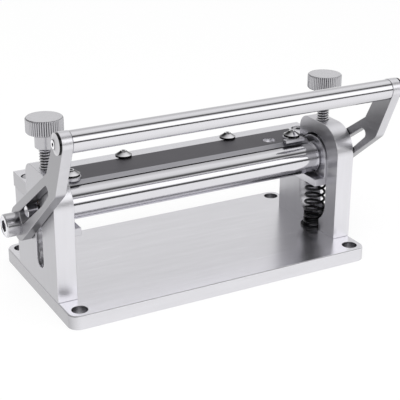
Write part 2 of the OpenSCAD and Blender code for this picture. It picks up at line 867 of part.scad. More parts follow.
module arm() {
    pivot = [pivot_back, pivot_z];
    elbow = [elbow_y, elbow_z];
    bar = [bar_y, bar_z];
    difference() {
        union() {
            along_x(arm_inner, arm_outer) tangent_band(pivot, elbow, pivot_boss_d / 2, elbow_w / 2);
            along_x(arm_inner, arm_outer) tangent_band(elbow, bar, elbow_w / 2, bar_boss_d / 2);
            translate([0, pivot_back, pivot_z]) rod_x(arm_inner, arm_outer, pivot_boss_d / 2);
            translate([0, elbow_y, elbow_z]) rod_x(arm_inner, arm_outer, elbow_w / 2);
            translate([0, bar_y, bar_z]) rod_x(arm_inner, arm_outer, bar_boss_d / 2);
        }
        along_x(arm_inner - overrun, arm_outer + overrun) arm_slot_outline();
        translate([0, pivot_back, pivot_z])
            rod_x(arm_inner - overrun, arm_outer + overrun, shoulder_d / 2 + fit_gap);
        translate([0, bar_y, bar_z])
            rod_x(arm_inner - overrun, arm_outer + overrun, cap_shank_d / 2 + fit_gap);
    }
}

module left_arm() {
    color("silver") on_left() arm();
}

module right_arm() {
    color("silver") arm();
}

module handle_bar() {
    color("whitesmoke") translate([0, bar_y, bar_z]) on_both_sides() difference() {
        union() {
            rod_x(0, arm_inner - edge_bevel, bar_d / 2);
            rod_x(arm_inner - edge_bevel, arm_inner, bar_d / 2, bar_d / 2 - edge_bevel);
        }
        rod_x(arm_inner - handle_grip - overrun, arm_inner + overrun, cap_shank_d / 2 + fit_gap);
    }
}

module handle_screws() {
    color("gainsboro") on_both_sides() translate([arm_outer, bar_y, bar_z]) rotate([0, 90, 0])
        cone_screw(handle_cone_d, handle_cone_tip_d, handle_cone_height, cap_shank_d,
            arm_thick + handle_grip);
}

module pivot_bolts() {
    head = arm_outer + pivot_washer_thick;
    color("gainsboro") on_both_sides() translate([0, pivot_back, pivot_z]) difference() {
        union() {
            rod_x(upright_outer - pivot_thread_length, upright_outer, pivot_thread_d / 2);
            rod_x(upright_outer, head, shoulder_d / 2);
            rod_x(head, head + pivot_head_height - edge_bevel, pivot_head_d / 2);
            rod_x(head + pivot_head_height - edge_bevel, head + pivot_head_height,
                pivot_head_d / 2, pivot_head_d / 2 - edge_bevel);
        }
        translate([head + pivot_head_height, 0, 0]) rotate([0, 90, 0])
            hex_socket(pivot_socket_w, pivot_socket_depth);
    }
}

module pivot_washers() {
    color("silver") on_both_sides() for (x = [upright_outer, arm_outer]) {
        translate([x, pivot_back, pivot_z]) rotate([0, 90, 0])
            washer(pivot_washer_d, shoulder_d + 2 * fit_gap, pivot_washer_thick);
    }
}

base_plate();
left_upright();
right_upright();
upright_screws();
blade_beam();
beam_screws();
blade();
blade_screws();
end_plates();
end_plate_screws();
pivot_bolts();
pivot_washers();
left_arm();
right_arm();
handle_bar();
handle_screws();
left_block();
right_block();
bushings();
thrust_washers();
roller();
left_spring();
right_spring();
spring_seats();
left_adjuster_screw();
right_adjuster_screw();
left_adjuster_knob();
right_adjuster_knob();
left_screw_tip();
right_screw_tip();
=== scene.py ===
"""Looks of a bench leather splitting machine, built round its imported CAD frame.

Lengths in the classes are millimetres, as in the part's source, and turn into metres where
a mesh is made. X runs along the roller, Y to the back and Z up from the base's underside.
"""

from __future__ import annotations

import json
import logging
import math
from dataclasses import dataclass, field
from enum import Enum
from typing import Any, Callable, ClassVar

import bmesh
import bpy
from mathutils import Matrix, Vector

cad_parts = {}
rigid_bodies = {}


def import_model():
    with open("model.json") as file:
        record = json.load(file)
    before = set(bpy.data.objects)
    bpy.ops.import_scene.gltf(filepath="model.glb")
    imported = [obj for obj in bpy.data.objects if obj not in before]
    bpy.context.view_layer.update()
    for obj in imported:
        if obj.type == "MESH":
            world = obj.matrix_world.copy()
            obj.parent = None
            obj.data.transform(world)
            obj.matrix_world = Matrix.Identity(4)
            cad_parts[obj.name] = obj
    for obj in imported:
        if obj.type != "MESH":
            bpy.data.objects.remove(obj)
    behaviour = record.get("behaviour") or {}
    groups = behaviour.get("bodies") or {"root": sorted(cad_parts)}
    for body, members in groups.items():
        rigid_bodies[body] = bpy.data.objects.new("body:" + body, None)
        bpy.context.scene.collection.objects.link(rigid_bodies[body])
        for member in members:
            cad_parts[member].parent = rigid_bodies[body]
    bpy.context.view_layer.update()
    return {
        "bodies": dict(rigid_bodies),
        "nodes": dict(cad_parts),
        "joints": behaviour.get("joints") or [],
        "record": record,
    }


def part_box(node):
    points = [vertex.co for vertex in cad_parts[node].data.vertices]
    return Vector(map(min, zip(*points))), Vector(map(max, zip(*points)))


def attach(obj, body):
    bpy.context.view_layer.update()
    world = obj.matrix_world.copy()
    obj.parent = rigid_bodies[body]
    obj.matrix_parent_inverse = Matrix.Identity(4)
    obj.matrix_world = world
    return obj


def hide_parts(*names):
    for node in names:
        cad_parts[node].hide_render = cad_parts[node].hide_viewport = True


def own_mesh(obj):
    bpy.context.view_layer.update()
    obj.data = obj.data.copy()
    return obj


MM = 0.001
TURN = 2 * math.pi
LOG = logging.getLogger("splitter")

Colour = tuple[float, float, float]
Point = tuple[float, float, float]
Pair = tuple[float, float]
Material = bpy.types.Material
Mesh = bpy.types.Mesh
Node = bpy.types.Node
Piece = bpy.types.Object
Socket = bpy.types.NodeSocket
Tree = bpy.types.NodeTree

SIDES = {"left": -1, "right": 1}
COOL: Colour = (1.0, 0.992, 1.012)  # the cast of all the machined metal
RELIEF = 0.1  # distance in a bump node
LEAST = 0.03  # the least tone, and the least roughness


# Node trees


def by_node(operation: str) -> Callable[[Number, Number | float], Number]:
    """Returns a method that puts a Number and another value through one Math node."""
    return lambda number, other: number.math(operation, other)


class Number:
    """A socket of a node tree that takes part in Python arithmetic."""

    __add__ = by_node("ADD")
    __sub__ = by_node("SUBTRACT")
    __mul__ = by_node("MULTIPLY")
    __truediv__ = by_node("DIVIDE")
    __pow__ = by_node("POWER")
    at_least = by_node("MAXIMUM")
    at_most = by_node("MINIMUM")

    def __init__(self, tree: Tree, socket: Socket) -> None:
        """Keeps the tree and the socket."""
        self.tree = tree
        self.socket = socket

    def math(self, operation: str, *others: Number | float) -> Number:
        """Adds one Math node.

        Args:
            operation: The node's operation.
            others: The values or sockets that follow this one.

        Returns:
            The node's result.
        """
        node = self.tree.nodes.new("ShaderNodeMath")
        node.operation = operation
        for place, value in zip(node.inputs, (self, *others)):
            if isinstance(value, Number):
                self.tree.links.new(value.socket, place)
            else:
                place.default_value = value
        return Number(self.tree, node.outputs[0])

    def __rsub__(self, other: float) -> Number:
        """Returns the difference with a plain number on the left."""
        return self.math("MULTIPLY", -1.0).math("ADD", other)

    def held(self, low: float, high: float) -> Number:
        """Returns the value, kept between two limits."""
        return self.at_least(low).at_most(high)


class Graph:
    """Adds nodes to one tree."""

    def __init__(self, tree: Tree) -> None:
        """Keeps the tree."""
        self.tree = tree

    def feed(self, socket: Socket, value: Any) -> None:
        """Links or sets one input.

        Args:
            socket: The input.
            value: A Number or socket to link, or a plain value.
        """
        if isinstance(value, Number):
            self.tree.links.new(value.socket, socket)
        elif isinstance(value, Socket):
            self.tree.links.new(value, socket)
        else:
            socket.default_value = value

    def add(
        self,
        kind: str,
        settings: dict[str, Any] | None = None,
        inputs: dict[str | int, Any] | None = None,
        stops: list[tuple[float, Colour]] | None = None,
    ) -> Node:
        """Adds any node.

        Args:
            kind: The node's type.
            settings: Its properties, which are set first.
            inputs: Values or links for its sockets, by name or place.
            stops: A colour ramp's places and colours.

        Returns:
            The node.
        """
        node = self.tree.nodes.new(kind)
        for key, value in (settings or {}).items():
            setattr(node, key, value)
        for place, (position, colour) in enumerate(stops or []):
            elements = node.color_ramp.elements
            stop = elements[place] if place < 2 else elements.new(position)
            stop.position = position
            stop.color = (*colour, 1.0)
        for key, value in (inputs or {}).items():
            self.feed(node.inputs[key], value)
        return node

    def out(self, kind: str, inputs: dict[str | int, Any] | None = None) -> Socket:
        """Adds a node that needs no settings, and returns its first output."""
        return self.add(kind, inputs=inputs).outputs[0]

    def number(self, socket: Socket) -> Number:
        """Returns the socket as a Number."""
        return Number(self.tree, socket)

    def parts(self, vector: Socket) -> tuple[Number, Number, Number]:
        """Returns a vector's three values."""
        split = self.add("ShaderNodeSeparateXYZ", inputs={0: vector})
        return tuple(self.number(value) for value in split.outputs)

    def vector(self, x: Any, y: Any, z: Any) -> Socket:
        """Returns a vector made of three values."""
        return self.out("ShaderNodeCombineXYZ", {0: x, 1: y, 2: z})

    def where(self, kind: str) -> Socket:
        """Returns texture coordinates of a kind, such as Object or Normal."""
        return self.add("ShaderNodeTexCoord").outputs[kind]

    def noise(self, vector: Socket, scale: float, detail: float) -> Number:
        """Returns a noise texture's value."""
        inputs = {"Vector": vector, "Scale": scale, "Detail": detail}
        return self.number(self.out("ShaderNodeTexNoise", inputs))

    def relief(self, strength: float, height: Number) -> Socket:
        """Returns a normal that fine relief has tilted."""
        inputs = {"Strength": strength, "Distance": RELIEF * MM, "Height": height}
        return self.out("ShaderNodeBump", inputs)

    def mixed(self, factor: Any, first: Any, second: Any, blend: str = "MIX") -> Socket:
        """Mixes two colours.

        Args:
            factor: Share of the second colour.
            first: The colour that it is mixed into.
            second: The second colour.
            blend: The way they mix.

        Returns:
            The mix.
        """
        pair = [(*value, 1.0) if isinstance(value, tuple) else value for value in (first, second)]
        settings = {"data_type": "RGBA", "blend_type": blend}
        inputs = {"Factor": factor, 6: pair[0], 7: pair[1]}
        return self.add("ShaderNodeMix", settings, inputs).outputs[2]

    def rays(self, *kinds: str) -> Number:
        """Tells some kinds of ray from the others.

        Args:
            kinds: Names of the Light Path node's outputs.

        Returns:
            1 for a ray of any of the kinds, and else 0.
        """
        path = self.add("ShaderNodeLightPath")
        seen, *others = (self.number(path.outputs[kind]) for kind in kinds)
        for other in others:
            seen = seen.at_least(other)
        return seen

    def placed(self, geometry: Socket, place: Socket) -> Socket:
        """Returns the geometry with each of its points at a new place."""
        return self.out("GeometryNodeSetPosition", {"Geometry": geometry, "Position": place})


# Finishes


def new_material(name: str) -> tuple[Material, Graph, Node]:
    """Starts a material.

    Args:
        name: The material's name.

    Returns:
        The material, its graph and its shader.
    """
    material = bpy.data.materials.new(name)
    material.use_nodes = True
    return material, Graph(material.node_tree), material.node_tree.nodes["Principled BSDF"]


def tint_of(material: Material) -> tuple[Graph, Socket]:
    """Returns a metal's graph and the socket of the colour that its marks shade."""
    shader = material.node_tree.nodes["Principled BSDF"]
    return Graph(material.node_tree), shader.inputs["Base Color"].links[0].from_node.inputs[6]


class Grain(Enum):
    """The way that fine tool marks run, as the axes across which they are narrow."""

    ALONG_X = "yz"
    ALONG_Y = "xz"
    ALONG_Z = "xy"
    ROUND_X = "x"
    ROUND_Z = "radius, z"


@dataclass(frozen=True)
class MetalFinish:
    """A machined metal surface with grain, faint mottling and painted shade on faces by the way they
    look.

    Attributes:
        centre: A point on the axis that turned marks run round.
        fine: Width of a mark.
        long: Length of a mark.
        streak: How much the marks change the colour.
        rough_streak: How much they change the roughness.
        bump: How much they stand out.
        mottle: How much soft clouds change the colour.
        wall: Painted shade of upright faces, where 1 changes nothing.
        cheek: Painted shade of faces that look along x.
        painted_flank_shade: Painted shade of faces that look away from x.
        under: Painted shade of undersides.
        sharp: How soon these painted shades set in as a face leans.
    """

    LINE_SEED: ClassVar[float] = 3.1
    BAND_SEED: ClassVar[float] = 7.7
    BAND_WIDTH: ClassVar[float] = 14.0
    CLOUD_SCALE: ClassVar[float] = 28.0
    name: str
    colour: Colour
    roughness: float
    grain: Grain
    centre: Point = (0.0, 0.0, 0.0)
    fine: float = 0.35
    long: float = 45.0
    streak: float = 0.05
    rough_streak: float = 0.06
    bump: float = 0.02
    mottle: float = 0.03
    # The next five fields paint shade onto faces by the way they look in the object's space.
    wall: float = 1.0
    cheek: float = 1.0
    painted_flank_shade: float = 1.0
    sharp: float = 1.0
    under: float = 1.0

    def stretched(self, graph: Graph, fine: float, seed: float) -> Socket:
        """Returns coordinates that are squeezed across the grain.

        Args:
            graph: The material's graph.
            fine: Width of a mark across the grain.
            seed: An offset, so that layers differ.

        Returns:
            The coordinates.
        """
        move = [-value * MM for value in self.centre]
        centred = {"Vector": graph.where("Object"), "Location": move}
        x, y, z = graph.parts(graph.out("ShaderNodeMapping", centred))
        near, far = 1 / (fine * MM), 1 / (self.long * MM)
        if self.grain is Grain.ROUND_Z:
            return graph.vector((x * x + y * y) ** 0.5 * near + seed, z * near, 0.0)
        across, along, up = (near if axis in self.grain.value else far for axis in "xyz")
        return graph.vector(x * across + seed, y * along, z * up)

    def with_painted_shade(self, graph: Graph, shade: Number) -> Number:
        """Paints shade on the sides of a piece that reflect darker things than its top does.

        Args:
            graph: The material's graph.
            shade: The shade so far.

        Returns:
            The shade for the way that a face looks in its object's space.
        """
        across, _, up = graph.parts(graph.where("Normal"))
        # Painted shade: each tone below 1 darkens faces by their normal in the object's space.
        leans = (
            (self.painted_flank_shade, lambda: 1.0 - across * across),
            (self.under, lambda: (up * -1.0).held(0.0, 1.0) ** 2.0),
            (self.wall, lambda: (1.0 - up * up) ** 2.0),
            (self.cheek, lambda: across * across),
        )
        for tone, lean in leans:
            if tone != 1.0:
                shade = shade * (lean() * (tone - 1.0) * self.sharp + 1.0).held(LEAST, 1.0)
        return shade

    def material(self) -> Material:
        """Builds the material.

        Returns:
            The finished material.
        """
        material, graph, shader = new_material(self.name)
        marks = graph.noise(self.stretched(graph, self.fine, self.LINE_SEED), 1.0, 3.0)
        broad = self.stretched(graph, self.fine * self.BAND_WIDTH, self.BAND_SEED)
        line, band = marks - 0.5, graph.noise(broad, 1.0, 2.0) - 0.5
        haze = graph.noise(graph.where("Object"), self.CLOUD_SCALE, 3.0) - 0.5
        shade = line * self.streak + band * self.streak * 2.0 + haze * self.mottle + 1.0
        # Painted shade by the way each face looks.
        shade = self.with_painted_shade(graph, shade)
        grey = graph.vector(*(shade * share for share in COOL))
        graph.feed(shader.inputs["Base Color"], graph.mixed(1.0, self.colour, grey, "MULTIPLY"))
        rough = (line + band) * self.rough_streak + haze * self.mottle * 1.5 + self.roughness
        graph.feed(shader.inputs["Roughness"], rough.held(LEAST, 1.0))
        shader.inputs["Metallic"].default_value = 1.0
        if self.bump:
            graph.feed(shader.inputs["Normal"], graph.relief(self.bump, marks))
        return material


@dataclass(frozen=True)
class BlackOxide:
    """Oil-black steel with rubbed spots."""

    name: str
    colour: Colour = (0.014, 0.014, 0.016)
    roughness: float = 0.32
    spots: float = 240.0
    bare: float = 0.55
    worn: float = 0.25

    def material(self) -> Material:
        """Builds the material.

        Returns:
            The finished material.
        """
        material, graph, shader = new_material(self.name)
        rub = graph.noise(graph.where("Object"), self.spots, 4.0)
        worn = (rub - self.bare).held(0.0, 1.0) * self.worn
        graph.feed(shader.inputs["Base Color"], graph.vector(*(worn + value for value in self.colour)))
        graph.feed(shader.inputs["Roughness"], worn * 1.2 + self.roughness)
        shader.inputs["Metallic"].default_value = 0.6
        graph.feed(shader.inputs["Normal"], graph.relief(0.08, rub))
        return material


# Meshes


def new_piece(name: str, mesh: Mesh) -> Piece:
    """Adds an object at the origin.

    Args:
        name: The object's name.
        mesh: Its mesh.

    Returns:
        The object.
    """
    piece = bpy.data.objects.new(name, mesh)
    bpy.context.scene.collection.objects.link(piece)
    return piece


def applied(piece: Piece) -> Mesh:
    """Takes a piece with modifiers out of the scene.

    Args:
        piece: The piece.

    Returns:
        What its modifiers make of its mesh.
    """
    graph = bpy.context.evaluated_depsgraph_get()
    mesh = bpy.data.meshes.new_from_object(piece.evaluated_get(graph), depsgraph=graph)
    bpy.data.objects.remove(piece)
    return mesh


def shaped(form: bmesh.types.BMesh, name: str) -> Mesh:
    """Turns a form into a mesh, and frees the form.

    Args:
        form: The form.
        name: The mesh's name.

    Returns:
        The mesh.
    """
    mesh = bpy.data.meshes.new(name)
    form.to_mesh(mesh)
    form.free()
    return mesh


def turned(profile: list[Pair], sides: int) -> Mesh:
    """Turns a profile round the Z axis.

    Args:
        profile: Radius and height of each point, from the bottom of the axis to its top.
        sides: The number of flats round the axis.

    Returns:
        The closed mesh, in metres.
    """
    form = bmesh.new()
    rings = []
    for radius, height in profile:
        angles = [TURN * side / sides for side in range(sides if radius else 1)]
        points = [(radius * math.cos(angle) * MM, radius * math.sin(angle) * MM) for angle in angles]
        rings.append([form.verts.new((x, y, height * MM)) for x, y in points])
    for low, high in zip(rings, rings[1:]):
        for side in range(sides):
            after = (side + 1) % sides
            ends = ((low, side), (low, after), (high, after), (high, side))
            corners = list(dict.fromkeys(ring[place % len(ring)] for ring, place in ends))
            if len(corners) > 2:
                form.faces.new(corners)
    bmesh.ops.recalc_face_normals(form, faces=form.faces)
    return shaped(form, "turned")


def socketed(profile: list[Pair], sides: int, flats: float, depth: float) -> Mesh:
    """Turns a profile round the Z axis and cuts a hexagonal socket down from its top.

    Args:
        profile: Radius and height of each point, from the bottom of the axis to its top.
        sides: The number of flats round the axis.
        flats: Width of the socket across its flats.
        depth: Depth of the socket.

    Returns:
        The mesh, in metres.
    """
    top = profile[-1][1]
    radius = flats / 2 / math.cos(math.pi / 6)
    prism = [(0, top - depth), (radius, top - depth), (radius, top + 1), (0, top + 1)]
    piece, cutter = new_piece("cut", turned(profile, sides)), new_piece("cutter", turned(prism, 6))
    boolean = piece.modifiers.new("cut", "BOOLEAN")
    boolean.operation, boolean.object, boolean.solver = "DIFFERENCE", cutter, "EXACT"
    result = applied(piece)
    bpy.data.objects.remove(cutter)
    return result


def softened(mesh: Mesh, edge: float, steps: int, sharp: float = 32.0) -> Mesh:
    """Breaks a mesh's sharp edges, as a file or a tumbler does.

    Args:
        mesh: The closed mesh.
        edge: Width of the break.
        steps: Faces across the break.
        sharp: The least angle, in degrees, that is broken.

    Returns:
        The new mesh, smooth where it is round and flat where it is flat.
    """
    piece = new_piece("softened", mesh)
    for face in mesh.polygons:
        face.use_smooth = True
    bevel = piece.modifiers.new("edges", "BEVEL")
    bevel.width, bevel.segments = edge * MM, steps
    bevel.limit_method, bevel.angle_limit = "ANGLE", math.radians(sharp)
    bevel.use_clamp_overlap = False
    bevel.miter_outer = "MITER_ARC"
    weight = piece.modifiers.new("normals", "WEIGHTED_NORMAL")
    weight.keep_sharp = False
    weight.weight = 80
    return applied(piece)


def smooth_by_angle(mesh: Mesh, angle: float = 35.0) -> Mesh:
    """Shades a mesh smooth, but for its sharp edges.

    Args:
        mesh: The mesh.
        angle: The least angle, in degrees, of a sharp edge.

    Returns:
        The same mesh.
    """
    for face in mesh.polygons:
        face.use_smooth = True
    mesh.set_sharp_from_angle(angle=math.radians(angle))
    return mesh


def moved(mesh: Mesh, x: float, y: float, z: float, side: int = 0) -> Mesh:
    """Moves a mesh, and may lay its Z axis along X.

    Args:
        mesh: The mesh.
        x: How far to the right it goes, or outwards where a side is given.
        y: How far it goes back.
        z: How far it goes up.
        side: 1 lays it along X for the right end of the machine and -1 for the left.

    Returns:
        The same mesh.
    """
    place = Matrix.Translation(((side or 1) * x * MM, y * MM, z * MM))
    mesh.transform(place @ Matrix.Rotation(side * math.pi / 2, 4, "Y"))
    return mesh


def joined(meshes: list[Mesh]) -> Mesh:
    """Joins meshes.

    Args:
        meshes: The meshes, which stay as they are.

    Returns:
        The new mesh.
    """
    form = bmesh.new()
    for mesh in meshes:
        form.from_mesh(mesh)
    return shaped(form, "joined")


def mirrored(half: list[Pair]) -> list[Pair]:
    """Returns a whole profile along X from its right half, which starts at the middle."""
    return [(-x, radius) for x, radius in reversed(half[1:])] + half


# Geometry node trees


class Recipe:
    """A geometry node tree with named inputs, which ends in a plain piece."""

    def __init__(self, name: str, *floats: str, **others: str) -> None:
        """Starts the tree.

        Args:
            name: The tree's name.
            floats: Names of the inputs that are plain numbers.
            others: The kind of each other input, such as Int, by its name.
        """
        self.tree = bpy.data.node_groups.new(name, "GeometryNodeTree")
        face = self.tree.interface
        face.new_socket("Geometry", in_out="INPUT", socket_type="NodeSocketGeometry")
        self.ids = {}
        for title, kind in {**dict.fromkeys(floats, "Float"), **others, "Finish": "Material"}.items():
            socket = face.new_socket(title, in_out="INPUT", socket_type="NodeSocket" + kind)
            self.ids[title] = socket.identifier
        face.new_socket("Geometry", in_out="OUTPUT", socket_type="NodeSocketGeometry")
        self.graph = Graph(self.tree)
        self.entry = self.graph.add("NodeGroupInput")

    def size(self, title: str) -> Number:
        """Returns a named input as a Number."""
        return self.graph.number(self.entry.outputs[title])

    def close(self, geometry: Socket) -> None:
        """Ends the tree in Realize Instances and Set Material.

        Args:
            geometry: What the tree has made.
        """
        real = self.graph.out("GeometryNodeRealizeInstances", {0: geometry})
        smooth = self.graph.out("GeometryNodeSetShadeSmooth", {0: real})
        finished = {"Geometry": smooth, "Material": self.entry.outputs["Finish"]}
        dressed = self.graph.out("GeometryNodeSetMaterial", finished)
        self.graph.add("NodeGroupOutput", inputs={0: dressed})

    def made(self, values: dict[str, Any], mesh: Mesh | None = None) -> Mesh:
        """Runs the tree.

        Args:
            values: A value for each named input.
            mesh: The mesh that goes in, if the tree needs one.

        Returns:
            The result, as a plain mesh with its faces pointing outwards.
        """
        piece = new_piece("recipe", mesh or bpy.data.meshes.new("empty"))
        modifier = piece.modifiers.new("recipe", "NODES")
        modifier.node_group = self.tree
        for title, value in values.items():
            modifier[self.ids[title]] = value
        form = bmesh.new()
        form.from_mesh(applied(piece))
        bmesh.ops.recalc_face_normals(form, faces=form.faces)
        return shaped(form, "made")


class CoilRecipe(Recipe):
    """A compression spring of round wire, closed up at both ends."""

    POINTS = 430
    ROUND = 14

    def __init__(self) -> None:
        """Builds the tree."""
        super().__init__(
            "coil", "Radius", "Wire", "Turns", "Closed turns", "Closed pitch", "Open pitch", "Bottom"
        )
        graph = self.graph
        line = graph.out("GeometryNodeCurvePrimitiveLine")
        points = graph.out("GeometryNodeResampleCurve", {"Curve": line, "Count": self.POINTS})
        place = graph.number(graph.out("GeometryNodeInputIndex"))
        turns, closed, tight = self.size("Turns"), self.size("Closed turns"), self.size("Closed pitch")
        turn = place / (self.POINTS - 1.0) * turns
        opened = turns - closed * 2.0
        first = turn.at_most(closed) * tight
        middle = (turn - closed).at_most(opened).at_least(0.0) * self.size("Open pitch")
        last = (turn - closed - opened).at_least(0.0) * tight
        angle, radius = turn * TURN, self.size("Radius")
        x, y = angle.math("COSINE") * radius, angle.math("SINE") * radius
        coil = graph.placed(points, graph.vector(x, y, self.size("Bottom") + first + middle + last))
        section = {"Resolution": self.ROUND, "Radius": self.size("Wire") / 2.0}
        wire = graph.out("GeometryNodeCurvePrimitiveCircle", section)
        wound = {"Curve": coil, "Profile Curve": wire, "Fill Caps": True}
        self.close(graph.out("GeometryNodeCurveToMesh", wound))


class ThreadRecipe(Recipe):
    """A length of screw thread round the Z axis, with a real helix."""

    SIDES = 48
    STEEP = 1.35
    CREST = 0.1

    def __init__(self) -> None:
        """Builds the tree."""
        super().__init__("thread", "Radius", "Depth", "Pitch", "Length", Rings="Int")
        graph = self.graph
        radius, depth = self.size("Radius"), self.size("Depth")
        pitch, length = self.size("Pitch"), self.size("Length")
        rings = self.size("Rings")
        rod = {"Vertices": self.SIDES, "Side Segments": rings, "Radius": radius, "Depth": length}
        x, y, z = graph.parts(graph.out("GeometryNodeInputPosition"))
        lead = z / pitch - y.math("ARCTAN2", x) / TURN
        ridge = (lead.math("FRACT") * 2.0 - 1.0).math("ABSOLUTE")
        cut_in = (ridge * self.STEEP - self.CREST).held(0.0, 1.0) * depth
        from_end = length / 2.0 - z.math("ABSOLUTE")
        runout = (1.0 - from_end / pitch * 2.0).held(0.0, 1.0) * depth
        share = (radius - cut_in.at_least(runout)) / radius
        place = graph.vector(x * share, y * share, z)
        self.close(graph.placed(graph.out("GeometryNodeMeshCylinder", rod), place))


class KnurlRecipe(Recipe):
    """A knob's rim round the Z axis, with straight flutes and a bevel at each end."""

    RINGS = 24
    CAP_RINGS = 6
    SHARP = 1.6

    def __init__(self) -> None:
        """Builds the tree."""
        super().__init__("knurl", "Radius", "Depth", "Height", "Bevel", "Teeth", Sides="Int")
        graph = self.graph
        radius, height = self.size("Radius"), self.size("Height")
        rim = {
            "Vertices": self.size("Sides"), "Side Segments": self.RINGS, "Fill Segments": self.CAP_RINGS,
            "Radius": radius, "Depth": height,
        }
        x, y, z = graph.parts(graph.out("GeometryNodeInputPosition"))
        wave = (y.math("ARCTAN2", x) * self.size("Teeth")).math("COSINE")
        flute = (wave * -0.5 + 0.5) ** self.SHARP * self.size("Depth")
        reach = (x * x + y * y) ** 0.5
        bevel = (self.size("Bevel") - (height / 2.0 - z.math("ABSOLUTE"))).at_least(0.0)
        share = reach.at_most(radius - bevel.at_least(flute)) / reach.at_least(0.00001)
        place = graph.vector(x * share, y * share, z)
        self.close(graph.placed(graph.out("GeometryNodeMeshCylinder", rim), place))


class ScrewSetRecipe(Recipe):
    """Copies of one screw on given points, each turned by its own amount."""

    MOST_TURN = 1.047

    def __init__(self) -> None:
        """Builds the tree."""
        super().__init__("screw_set", Screw="Object", Seed="Int")
        graph = self.graph
        screw = graph.add("GeometryNodeObjectInfo", inputs={"Object": self.entry.outputs["Screw"]})
        turn = graph.add(
            "FunctionNodeRandomValue",
            {"data_type": "FLOAT"},
            {"Min": 0.0, "Max": self.MOST_TURN, "Seed": self.entry.outputs["Seed"]},
        )
        angle = next(value for value in turn.outputs if value.enabled)
        set_out = {"Points": self.entry.outputs["Geometry"], "Instance": screw.outputs["Geometry"]}
        copies = graph.out("GeometryNodeInstanceOnPoints", set_out)
        spun = {"Instances": copies, "Rotation": graph.vector(0.0, 0.0, angle)}
        self.close(graph.out("GeometryNodeRotateInstances", spun))


class RevolveRecipe(Recipe):
    """A profile swept round the X axis, for the roller and the handle bar.

    The mesh that goes in holds one point for each step of the profile: (x, radius, 0).
    """

    def __init__(self) -> None:
        """Builds the tree."""
        super().__init__("revolve", Points="Int", Sides="Int")
        graph = self.graph
        sides = self.size("Sides")
        seam = sides + 1.0
        grid = {"Size X": 1.0, "Size Y": 1.0, "Vertices X": self.size("Points"), "Vertices Y": seam}
        place = graph.number(graph.out("GeometryNodeInputIndex"))
        step = (place / seam + 0.0001).math("FLOOR")
        profile = graph.add(
            "GeometryNodeSampleIndex",
            {"data_type": "FLOAT_VECTOR", "domain": "POINT"},
            {
                "Geometry": self.entry.outputs["Geometry"],
                "Value": graph.out("GeometryNodeInputPosition"),
                "Index": step,
            },
        )
        x, radius, _ = graph.parts(profile.outputs[0])
        angle = (place - step * seam) / sides * TURN
        path = graph.vector(x, angle.math("COSINE") * radius, angle.math("SINE") * radius)
        skin = graph.placed(graph.out("GeometryNodeMeshGrid", grid), path)
        whole = {"Geometry": skin, "Distance": 0.000001}
        self.close(graph.out("GeometryNodeMergeByDistance", whole))

    def swept(self, profile: list[Pair], sides: int) -> Mesh:
        """Sweeps a profile.

        Args:
            profile: Place along X and radius of each point, from left to right.
            sides: The number of flats round the axis.

        Returns:
            The closed mesh, with its axis on the X axis.
        """
        mesh = bpy.data.meshes.new("profile")
        mesh.from_pydata([(x * MM, radius * MM, 0) for x, radius in profile], [], [])
        return self.made({"Points": len(profile), "Sides": sides}, mesh)


# The frame and its pieces


class Workshop:
    """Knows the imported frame, and registers each finished piece on it."""

    def __init__(self, frame: dict[str, Any]) -> None:
        """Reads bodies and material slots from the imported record.
        """
        record = frame["record"]
        self.nodes = frame["nodes"]
        bodies = record["behaviour"]["bodies"]
        self.body = {node: body for body, nodes in bodies.items() for node in nodes}
        self.slot = {part["node"]: part["material_slot"] for part in record["subparts"]}

    def copied(self, node: str) -> Mesh:
        """Copies a CAD node's mesh, merged and with its flat faces whole.

        Args:
            node: The node's name.

        Returns:
            The new mesh.
        """
        form = bmesh.new()
        form.from_mesh(self.nodes[node].data)
        bmesh.ops.remove_doubles(form, verts=form.verts, dist=0.000002)
        bmesh.ops.dissolve_limit(form, angle_limit=math.radians(0.4), verts=form.verts, edges=form.edges)
        return shaped(form, node + "_copy")

    def fit(self, name: str, mesh: Mesh, finish: Material, node: str) -> Piece:
        """Puts a piece in the place of a CAD node.

        Args:
            name: The piece's name.
            mesh: Its mesh.
            finish: Its material.
            node: The node that it stands for.

        Returns:
            The piece.
        """
        mesh.name = name
        mesh.materials.clear()
        mesh.materials.append(finish)
        piece = new_piece(name, mesh)
        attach(piece, self.body[node])
        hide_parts(node)
        LOG.info("%s: %d faces, for %s", name, len(mesh.polygons), node)
        return piece

    def soft(self, name: str, node: str, edge: float, finish: Material, steps: int = 2) -> None:
        """Puts a copy of a CAD node, with its edges softened over a width, in the node's place."""
        self.fit(name, softened(self.copied(node), edge, steps), finish, node)

    def dress(self, node: str, finish: Material) -> None:
        """Gives a CAD node that stays a better material.

        Args:
            node: The node's name.
            finish: The material.
        """
        for place in self.nodes[node].material_slots:
            place.material = finish
        LOG.info("%s: CAD node with %s", node, finish.name)


# Finishes of this machine

ALUMINIUM: Colour = (0.80, 0.80, 0.818)


def metal(name: str, colour: Colour, roughness: float, grain: Grain, **changes: float) -> Material:
    """Returns the material of a metal finish."""
    return MetalFinish(name, colour, roughness, grain, **changes).material()


